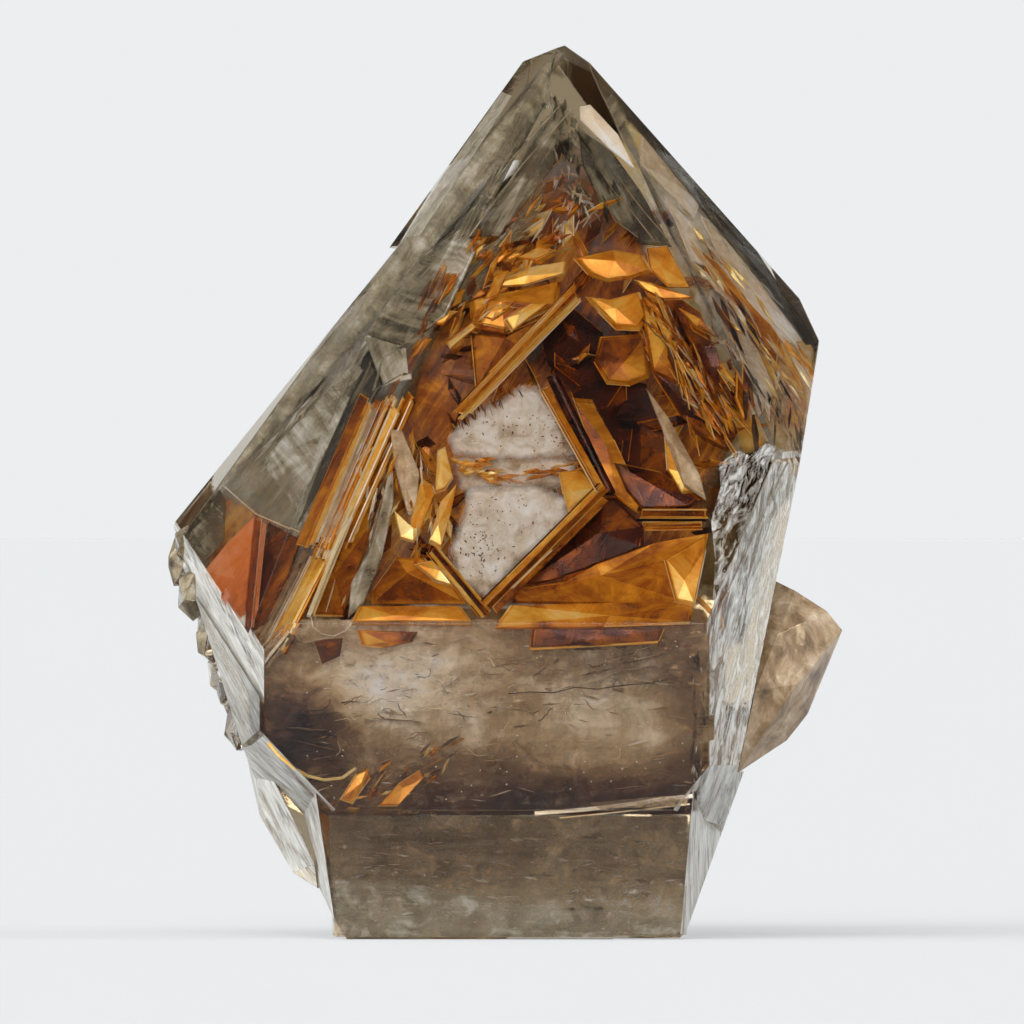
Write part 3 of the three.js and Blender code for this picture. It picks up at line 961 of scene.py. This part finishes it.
# The pale speckled window in two parts, with golden bits on the band between them.
WINDOW_BAND = [(440, 444), (590, 446), (588, 500), (450, 504)]
WINDOW_UPPER = [
    (434, 438), (462, 398), (496, 389), (516, 374), (544, 373), (567, 405), (594, 468), (504, 472),
    (446, 466),
]
WINDOW_LOWER = [
    (460, 475), (538, 473), (579, 489), (581, 524), (526, 574), (490, 612), (444, 590), (438, 547),
    (452, 505),
]
WINDOW_SHEETS = [
    ("window_band", WINDOW_BAND, 1.9, 0.62), ("window_upper", WINDOW_UPPER, 1.6, 0.72),
    ("window_lower", WINDOW_LOWER, 1.5, 0.74),
]
WINDOW_X, WINDOW_Y = (452, 570), (392, 590)
WINDOW_SPOTS = 34
BAND_BITS = [
    (slivers, amber, 26, along(452, 468, 500, 470, 20), 2, 40, (8, 26), (0.35, 0.66), (1.0, 3.5),
     (0.9, 1.3)),
    (slivers, amber, 14, along(520, 476, 566, 470, 10), -4, 20, (10, 30), (0.4, 0.62), (0.6, 2.0),
     (0.9, 1.3)),
    (slivers, amber, 30, along(452, 420, 518, 388, 8), 70, 40, (5, 14), (0.1, 0.4), (0.4, 1.2), (0.9, 1.4)),
]
# Dark specks: middle, width and height of each swarm, and how many.
SPECK_SWARMS = [
    (548, 432, 26, 24, 40), (478, 548, 22, 34, 70), (510, 520, 44, 40, 40), (500, 430, 44, 20, 24),
]


def window():
    """The band and the two panes, blotched, then the bits and specks on them."""
    for name, outline, depth, tone in WINDOW_SHEETS:
        spots = [
            (random.uniform(*WINDOW_X), random.uniform(*WINDOW_Y), random.uniform(5, 16),
             random.uniform(4, 10), random.uniform(-0.26, 0.14))
            for _ in range(WINDOW_SPOTS)
        ]
        sheet(name, WINDOW, outline, "pyramid", depth, (tone, spots), (1.3, []), 22, 0.15, 3, 10)
    lay(BAND_BITS, "pyramid")
    for x0, y0, wide, high, count in SPECK_SWARMS:
        for _ in range(count):
            x, y = random.gauss(x0, wide / 2), random.gauss(y0, high / 2)
            turn, run = random.uniform(0, math.pi), random.uniform(0.6, 2.6)
            end = (x + run * math.cos(turn), y + run * math.sin(turn))
            amber.bar("pyramid", (x, y), end, random.uniform(0.5, 1.3), 1.2, (0.04, 0.2), 0.05)


# Splintered plates in a V left of the window.
SHARDS = [
    (pale.plate, [(390, 429), (402, 431), (420, 474), (416, 515), (408, 515), (394, 466)], 1.0, (0.6, 0.66),
     0.2, 0.35, 0.25),
    (amber.plate, [(422, 478), (433, 486), (435, 494), (422, 527), (412, 543), (410, 523)], 0.9,
     (0.6, 0.55), 0.25, 0.3, 0.25),
    (amber.plate, [(437, 451), (445, 447), (453, 478), (445, 490), (435, 494)], 0.9, (0.66, 0.56), 0.25,
     0.3, 0.25),
    (amber.plate, [(457, 484), (451, 513), (441, 549), (429, 543), (441, 502)], 0.9, (0.6, 0.66), 0.25, 0.3,
     0.25),
    (amber.plate, [(394, 511), (400, 539), (414, 543), (422, 531), (408, 530)], 0.9, (0.7, 0.6), 0.25, 0.3,
     0.25),
]

# Splinter fans, bright slivers that are painted glints, and the white sparkle near the summit.
FAN_ANGLES = (0, -47, 62, 114)
SPLINTERS = [
    (slivers, "pyramid", amber, 80, along(648, 296, 712, 402, 50), 56, 44, (16, 54), (0.12, 0.56)),
    (slivers, "pyramid", amber, 80, along(452, 318, 560, 200, 64), -46, 70, (12, 44), (0.22, 0.66), (2, 8)),
    (slivers, "pyramid", amber, 40, along(420, 350, 480, 250, 40), -56, 40, (14, 40), (0.2, 0.55)),
    (slivers, "right", amber, 90, along(700, 236, 786, 372, 44), 54, 22, (20, 70), (0.36, 0.9), (0.8, 3.6),
     (0.5, 1.4)),
    (slivers, "right", amber, 16, along(716, 280, 764, 380, 30), 62, 16, (24, 60), (0.0, 0.12), (1.0, 3.5),
     (0.4, 0.8)),
    (slivers, "pyramid", amber, 30, along(400, 440, 440, 560, 40), 100, 50, (10, 30), (0.4, 0.75)),
    (slivers, "pyramid", smoke, 40, along(548, 100, 590, 190, 50), 70, 60, (10, 34), (0.15, 0.6)),
    (slivers, "left", smoke, 50, along(240, 480, 470, 190, 50), -51, 12, (24, 80), (0.2, 0.85), (1.0, 5.0)),
    (slivers, "right", pale, 26, along(772, 372, 800, 440, 34), 82, 30, (14, 44), (0.4, 0.8), (1.0, 4.0),
     (0.3, 0.8)),
    (slivers, "right", pale, 8, along(752, 380, 792, 430, 30), 82, 30, (14, 40), (0.0, 0.15), (0.8, 2.4),
     (0.3, 0.6)),
    (slivers, "right", pale, 30, along(660, 160, 770, 300, 24), 50, 12, (20, 60), (0.6, 0.95), (1.0, 4.0)),
]
# Where bright slivers are painted as glints, and their slant in degrees.
PAINTED_GLINTS = [
    (along(455, 320, 560, 200, 60), -46), (along(650, 290, 712, 402, 50), 58),
    (along(380, 420, 330, 600, 40), 114), (along(400, 440, 450, 560, 40), 100),
]
# The white sparkle: bright pale slivers painted as glints, and a bright pale plate below the summit.
SPARKLE = [
    (slivers, pale, 40, along(562, 168, 586, 214, 26), 70, 120, (5, 18), (0.6, 1.0), (0.4, 1.4)),
    (slivers, pale, 14, along(550, 236, 566, 224, 14), 100, 90, (5, 13), (0.75, 1.0), (0.8, 2.4)),
    (pale.plate, [(580, 107), (590, 105), (618, 135), (635, 170), (610, 150), (580, 120)], 0.5, (0.8, 1.0),
     0.1, 0.3, 0.1, 1.2, 0.1),
]


def fractures():
    """The fans, the splinters, the painted glints and the sparkle, in that order."""
    for angle in FAN_ANGLES:
        place = in_zone(PYRAMID_ZONE, 24)
        slivers("pyramid", amber, 34, place, angle, 24, (20, 64), (0.1, 0.5), (2.0, 8.0), (2.2, 3.8))
    lay(SPLINTERS)
    for place, angle in PAINTED_GLINTS:
        slivers("pyramid", amber, 26, place, angle, 50, (8, 34), (0.75, 0.95), (0.4, 1.4))
    lay(SPARKLE, "pyramid")


# Plates and slots under the right pyramid face.
RIGHT_PLATES = [
    (amber.plate, [(700, 250), (716, 262), (758, 310), (790, 342), (770, 350), (730, 306)], 0.8,
     (0.46, 0.38), 0.25, 0.4),
    (amber.plate, [(742, 338), (756, 350), (758, 400), (748, 416), (740, 396)], 0.8, (0.2, 0.32), 0.25,
     0.4),
    (amber.plate, [(752, 282), (764, 290), (778, 340), (776, 372), (762, 340)], 0.8, (0.42, 0.34), 0.25,
     0.4),
    (amber.plate, [(698, 262), (714, 272), (746, 330), (744, 372), (726, 330)], 2.0, (0.1, 0.08), 0.1),
]

# Stains and flakes behind the front prism face.
BELOW_SHOULDER = [
    (amber.plate, [(532, 629), (664, 629), (659, 641), (598, 647), (530, 648)], 0.6, (0.3, 0.24), 0.2, 0.3),
    (amber.bar, (530, 649), (658, 642), 3, 0.4, (0.6, 0.55), 0.1, 1.0, 0.3),
    (amber.plate, [(357, 630), (418, 632), (412, 642), (384, 648), (362, 646)], 0.6, (0.45, 0.3), 0.1),
    (amber.plate, [(314, 640), (343, 638), (340, 656), (322, 664)], 0.7, (0.3, 0.2), 0.1),
    (amber.plate, [(340, 800), (356, 774), (368, 768), (370, 778), (352, 804)], 0.7, (0.42, 0.5), 0.3, 0.3),
    (amber.plate, [(378, 806), (398, 784), (420, 770), (424, 778), (398, 806)], 0.7, (0.42, 0.5), 0.3, 0.3),
    (slivers, amber, 90, along(340, 796, 440, 758, 34), -38, 70, (6, 26), (0.15, 0.7), (0.6, 3.0)),
]

# The crumpled amber field between the dark panel and the right ridge, with its bright hairlines.
FEATHER = [
    (amber.plate, [(640, 300), (672, 292), (700, 312), (716, 350), (724, 392), (706, 404), (676, 384),
     (652, 372)], 1.0, (0.36, 0.26), 0.1, 0.4, 0.2, 0.95, 0.2),
    (amber.plate, [(652, 372), (676, 384), (706, 404), (724, 396), (738, 432), (728, 452), (704, 440),
     (680, 416)], 1.1, (0.26, 0.2), 0.1, 0.4, 0.2, 0.95, 0.2),
    (slivers, amber, 46, along(652, 306, 716, 420, 30), 58, 26, (16, 46), (0.25, 0.62), (0.8, 3.2),
     (0.3, 0.9)),
    (slivers, pale, 14, along(660, 310, 722, 420, 24), 60, 22, (12, 36), (0.6, 0.85), (0.4, 1.2),
     (0.25, 0.6)),
]

# Pale lines along the right of the ledge between prism and root: painted highlights.
LEDGE_GLINT = [
    (pale.line, [(536, 812), (584, 809), (628, 804), (662, 799), (692, 797)], 4.0, 0.3, (0.8, 0.95), 2),
    (pale.line, [(560, 817), (620, 812), (688, 803)], 1.4, 0.3, (0.6, 0.9), 2),
]

lay(LEFT_BUNDLE)
lay(LEFT_PANES)
lay(SHOULDER_BARS, "pyramid")
lay(MIDDLE_PLATES, "pyramid")
lay(UPPER_PLATES, "pyramid")
ridges()
front_cracks()
window()
lay(SHARDS, "pyramid")
fractures()
lay(RIGHT_PLATES, "right")
lay(BELOW_SHOULDER, "front")
lay(FEATHER, "pyramid")
lay(LEDGE_GLINT, "front")
for films in (amber, pale, smoke, salmon):
    films.finish()

# Veils: the smoky and amber grounds that the films lie on.
VEILS = [
    ("amber_ground", GROUND, PYRAMID_ZONE, "pyramid", 4.0,
     (0.33, [(505, 265, 60, 60, 0.14), (588, 350, 46, 46, -0.32), (690, 360, 40, 60, 0.06),
             (400, 520, 60, 60, 0.12), (570, 140, 50, 60, -0.1), (600, 560, 80, 40, -0.1)]),
     (0.9, [(585, 110, 60, 60, -0.9), (340, 560, 40, 90, -0.3), (744, 440, 30, 44, -0.8)]), 24, 0.8, 6, 60),
    ("smoke_ground", SMOKE, PYRAMID_ZONE, "pyramid", 9.0,
     (0.36, [(585, 120, 60, 70, 0.2), (340, 540, 40, 90, 0.12), (740, 440, 40, 60, 0.22)]),
     (0.9, []), 16, 0.8, 6, 50),
    ("left_smoke", SMOKE, LEFT_ZONE, "left", 1.8,
     (0.62, [(340, 400, 50, 80, 0.12), (240, 560, 40, 40, -0.2), (430, 280, 40, 60, 0.2)]),
     (0.35, []), 18, 0.5, 6, 52),
    ("left_edge", MOTTLE, LEFT_RIM, "left", 0.1,
     (0.54, [(440, 190, 60, 60, 0.06), (520, 100, 30, 40, -0.14)]),
     (0.9, [(330, 330, 60, 60, -0.2)]), 10, 0.03, 4, 54),
    ("left_gold", GROUND, LEFT_END, "left", 2.2,
     (0.33, [(240, 530, 40, 30, 0.1)]), (0.9, []), 14, 0.3, 5, 54),
    ("left_ground", SMOKE, LEFT_ZONE, "left", 6.5,
     (0.44, [(300, 470, 60, 80, 0.14), (430, 280, 50, 70, 0.14)]), (0.95, []), 16, 0.8, 6, 55),
    ("right_smoke", CLOUD, RIGHT_ZONE, "right", 1.6,
     (0.8, [(690, 210, 50, 60, 0.18), (785, 400, 30, 40, -0.26)]),
     (0.48, [(785, 400, 30, 40, -0.3)]), 14, 0.4, 5, -50),
    ("right_ground", GROUND, RIGHT_ZONE, "right", 4.5,
     (0.66, [(740, 320, 30, 60, 0.16), (690, 200, 40, 60, 0.22), (785, 400, 30, 40, -0.26)]),
     (0.9, []), 14, 0.6, 5, -52),
    ("front_cloud", CLOUD, FRONT_ZONE, "front", 1.0,
     (0.58, [(600, 715, 80, 50, 0.2), (390, 684, 90, 50, 0.34), (295, 730, 50, 60, -0.6),
             (560, 812, 220, 44, -0.55), (520, 720, 24, 90, -0.1), (690, 720, 24, 120, -0.3)]),
     (0.5, [(600, 710, 120, 60, 0.25), (295, 730, 60, 60, 0.25), (390, 684, 90, 50, 0.6)]), 6, 0.4, 6),
    ("front_flecks", FLECK, FRONT_ZONE, "front", 0.6,
     (0.26, [(620, 668, 90, 26, -0.1), (390, 704, 60, 16, 0.5), (560, 800, 200, 40, -0.1),
             (300, 730, 50, 50, -0.1)]),
     (0.16, [(600, 730, 90, 50, -0.25), (640, 665, 80, 30, 0.3), (380, 684, 80, 40, -0.12),
             (290, 735, 45, 45, -0.5)]), 6, 0.2, 6, 4),
    ("front_ground", CLOUD, FRONT_ZONE, "front", 4.5,
     (0.46, [(600, 710, 120, 60, 0.3), (390, 684, 90, 50, 0.44), (300, 740, 70, 60, -0.3),
             (560, 812, 220, 40, -0.36)]),
     (1.2, []), 6, 0.6, 6, 20),
    ("root_cloud", CLOUD, ROOT_ZONE, "root", 0.5,
     (0.52, [(420, 840, 120, 20, -0.16), (500, 918, 260, 22, 0.24)]),
     (0.5, [(500, 930, 300, 40, -0.2)]), 4, 0.2, 5),
    ("root_flecks", GRIT, ROOT_ZONE, "root", 0.35,
     (0.34, [(460, 850, 160, 30, -0.1), (620, 905, 90, 14, 0.4)]),
     (0.2, [(480, 915, 240, 24, -0.2)]), 4, 0.1, 5, 3),
    ("root_foot", MOTTLE, ROOT_FOOT, "root", 0.3, (0.64, []), (0.45, []), 9, 0.1, 5),
    ("root_ground", SMOKE, ROOT_ZONE, "root", 2.0, (0.5, []), (1.2, []), 4, 0.3, 5),
]
for veil in VEILS:
    sheet(*veil)

# Coats on the outer faces.
RIGHT_CORNER = [
    (712, 614), (715, 560), (711, 520), (721, 486), (719, 464), (738, 450), (750, 456), (766, 443),
    (776, 447),
]
LEFT_TIP = [(404, 238), (428, 200), (444, 174), (474, 132), (502, 92), (512, 96), (480, 146), (420, 236)]
FROST_TONES = [
    (0.3, rgb(64, 44, 22)), (0.45, rgb(124, 98, 66)), (0.58, rgb(160, 138, 110)), (0.72, rgb(198, 184, 164)),
]
CRUST_TONES = [(0.34, rgb(38, 30, 18)), (0.48, rgb(92, 79, 52)), (0.62, rgb(142, 131, 106))]
# Painted sheens: pale reflections painted as coats on the side faces, the right corner and the left tip.
RIGHT_SHEEN = painted_sheen("right_sheen", (0.2, 0.7, 1), 66, [(0.42, 0.1), (0.52, 0.75), (0.62, 0.95)])
LEFT_SHEEN = painted_sheen("left_sheen", (0.06, 0.7, 1), -24, [(0.36, 0.2), (0.48, 0.8), (0.62, 0.96)])
LOW_SHEEN = painted_sheen("low_sheen", (0.08, 0.4, 1), -60, [(0.34, 0.35), (0.46, 0.8), (0.6, 0.95)])
CORNER_COVER = [(0.45, 0.0), (0.55, 0.4), (0.68, 0.75)]
CORNER_SHEEN = painted_sheen("corner_sheen", (0.3, 0.9, 1), 64, CORNER_COVER, SHEEN_TONES, 0.05)
TIP_SHEEN = painted_sheen("tip_sheen", (0.2, 0.8, 1), 54, [(0.3, 0.55), (0.5, 0.75), (0.65, 0.9)], TIP_TONES)
SIDE_FROST = coat("side_frost", FROST_TONES, 0.4, [(0.3, 0.7), (0.5, 1.0)], 0.3, 0.35)
LEFT_CRUST = coat("left_crust", CRUST_TONES, 0.7, [(0.34, 0.5), (0.5, 0.95)], 0.6, 0.9)
skin("right_face", RIGHT_SHEEN, near(*RIGHT_SIDE))
patch("right_corner", CORNER_SHEEN, RIGHT_CORNER, "pyramid")
patch("left_tip", TIP_SHEEN, LEFT_TIP, "left", 0.02)
skin("left_face", LEFT_SHEEN, near(*LEFT_SIDE))
skin("low_left", LOW_SHEEN, low_side(-1, 13.5))
skin("low_right", LOW_SHEEN, low_side(1, 12))
skin("side_frost", SIDE_FROST, side_crystal)
skin("left_crust", LEFT_CRUST, beyond("side_left", 13, 40))

# Floor.
FLOOR_SIZE = 60
FLOOR_DROP = 0.00002
FLOOR_ALBEDO = (0.45, 0.459, 0.467, 1)
BACKGROUND = rgb(236, 238, 240)
bpy.ops.mesh.primitive_plane_add(size=FLOOR_SIZE, location=(0, 0, -FLOOR_DROP))
floor = bpy.context.object
floor.name = "floor"
paint = Nodes("floor")
lit = paint.add("BsdfDiffuse", Color=FLOOR_ALBEDO)
glow = paint.add("Emission")
glow.inputs["Color"].default_value = BACKGROUND
paint.surface(paint.mix(0.5, lit, glow))
floor.data.materials.append(paint.material)


# Light.
class Sky(Nodes):
    """The studio as seen from the crystal: brightness by direction."""

    def __init__(self):
        self.world = bpy.data.worlds.new("studio")
        self.world.use_nodes = True
        self.tree = self.world.node_tree
        self.tree.nodes.clear()
        self.out = self.tree.nodes.new("ShaderNodeOutputWorld")
        self.toward = self.add("TexCoord").outputs["Generated"]

    def step(self, value, low, high):
        """0 below low and 1 above high, with a smooth rise between."""
        node = self.add("MapRange", Value=value, From_Min=low, From_Max=high)
        node.interpolation_type = "SMOOTHSTEP"
        return node.outputs["Result"]

    def patch(self, toward, inner, outer):
        """1 inside a soft round patch about a direction, 0 outside it. Angles in degrees."""
        dot = self.tree.nodes.new("ShaderNodeVectorMath")
        dot.operation = "DOT_PRODUCT"
        self.put(self.toward, dot.inputs[0])
        self.put(Vector(toward).normalized(), dot.inputs[1])
        return self.step(dot.outputs["Value"], math.cos(math.radians(outer)), math.cos(math.radians(inner)))


SKY = 0.5
# Soft lamps: direction, inner and outer half angle in degrees, brightness.
SOFTBOXES = [
    ((-0.35, -0.8, 0.6), 22, 40, 6.0), ((0.85, -0.2, 0.5), 12, 24, 4.0), ((-0.9, 0.1, 0.5), 12, 24, 4.0),
]
# Dark flags where the three pyramid faces mirror the studio into the camera.
FLAGS = [(0, -0.236, 0.971), (-0.535, 0.691, 0.486), (0.535, 0.691, 0.486)]
FLAG_INNER, FLAG_OUTER = 9, 16
FLAG_SHADE = -0.85
HORIZON_LOW, HORIZON_HIGH = 2, 8
sky = Sky()
light = SKY
for toward, inner, outer, power in SOFTBOXES:
    light = sky.math("ADD", light, sky.math("MULTIPLY", sky.patch(toward, inner, outer), power))
for toward in FLAGS:
    flag = sky.math("MULTIPLY", sky.patch(toward, FLAG_INNER, FLAG_OUTER), FLAG_SHADE)
    light = sky.math("MULTIPLY", light, sky.math("ADD", flag, 1.0))
height = sky.add("SeparateXYZ", Vector=sky.toward).outputs["Z"]
above = sky.step(height, math.sin(math.radians(HORIZON_LOW)), math.sin(math.radians(HORIZON_HIGH)))
sheen = sky.add("MixRGB", Fac=above, Color1=BACKGROUND)
sky.put(light, sheen.inputs["Color2"])
sky.surface(sky.add("Background", Color=sheen.outputs[0]))
sky.world.cycles.sampling_method = "NONE"
bpy.context.scene.world = sky.world

# Camera.
SENSOR = 36
camera = bpy.data.cameras.new("camera")
camera.sensor_width = SENSOR
camera.lens = SENSOR * CAMERA_DISTANCE / (IMAGE * PIXEL)
camera.clip_end = 200
camera_object = bpy.data.objects.new("camera", camera)
bpy.context.collection.objects.link(camera_object)
camera_object.location = CAMERA_POINT * MM
camera_object.rotation_euler = (math.radians(90), 0, 0)
scene = bpy.context.scene
scene.camera = camera_object

# Light paths and tones.
scene.view_settings.view_transform = "Standard"
scene.cycles.max_bounces = 12
scene.cycles.transmission_bounces = 10
scene.cycles.glossy_bounces = 5
scene.cycles.diffuse_bounces = 2
scene.cycles.transparent_max_bounces = 12
scene.cycles.sample_clamp_indirect = 5.0
